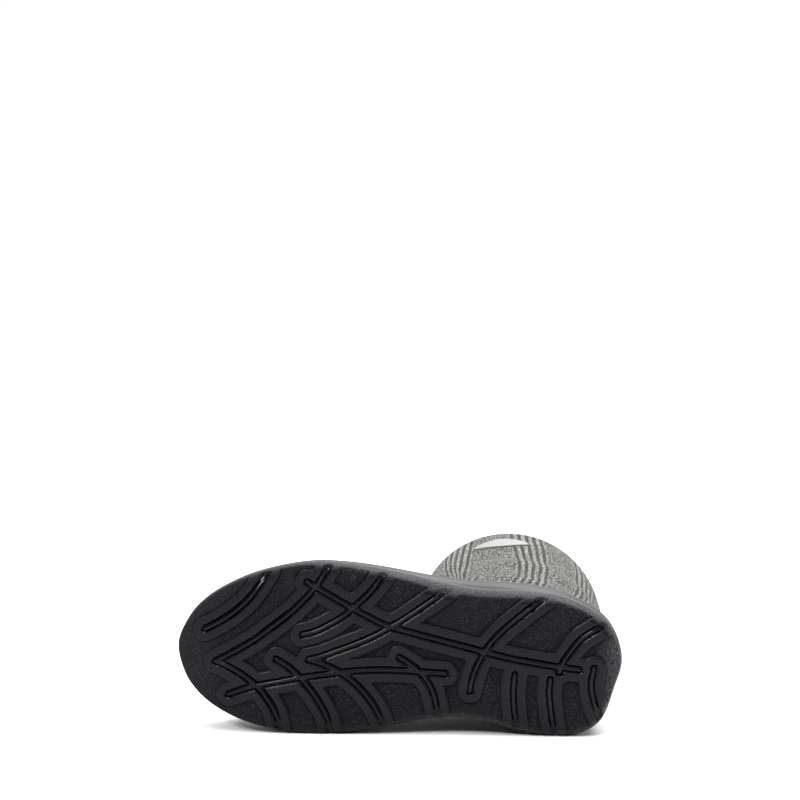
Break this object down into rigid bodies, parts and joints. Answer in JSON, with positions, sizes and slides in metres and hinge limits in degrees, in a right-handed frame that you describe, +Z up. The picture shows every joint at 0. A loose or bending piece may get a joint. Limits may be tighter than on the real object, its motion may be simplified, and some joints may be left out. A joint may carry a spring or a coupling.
{
  "type": "tall knit boot",
  "caption": "Tall pull-on left boot with a draped knitted shaft and a chunky grooved unit sole, lying on its inner side.",
  "frame": {"origin": "middle of the box of the lying boot, on the ground", "axes": "+Z up; the toe points to -X, the tread faces -Y and the collar opens to +Y; the outer side of the boot is up"},
  "size_m": [0.2836, 0.402, 0.1087],
  "materials": {
    "sole": "moulded, fine sand texture between smooth bands",
    "knit": "melange grey jersey knit with darker and lighter ribs",
    "insole": "brushed fleece",
    "badge": "plain matt patch"
  },
  "bodies": {
    "root": {"unit_sole": "sole", "knit_upper": "knit", "insole": "insole", "side_badge": "badge"}
  },
  "joints": []
}
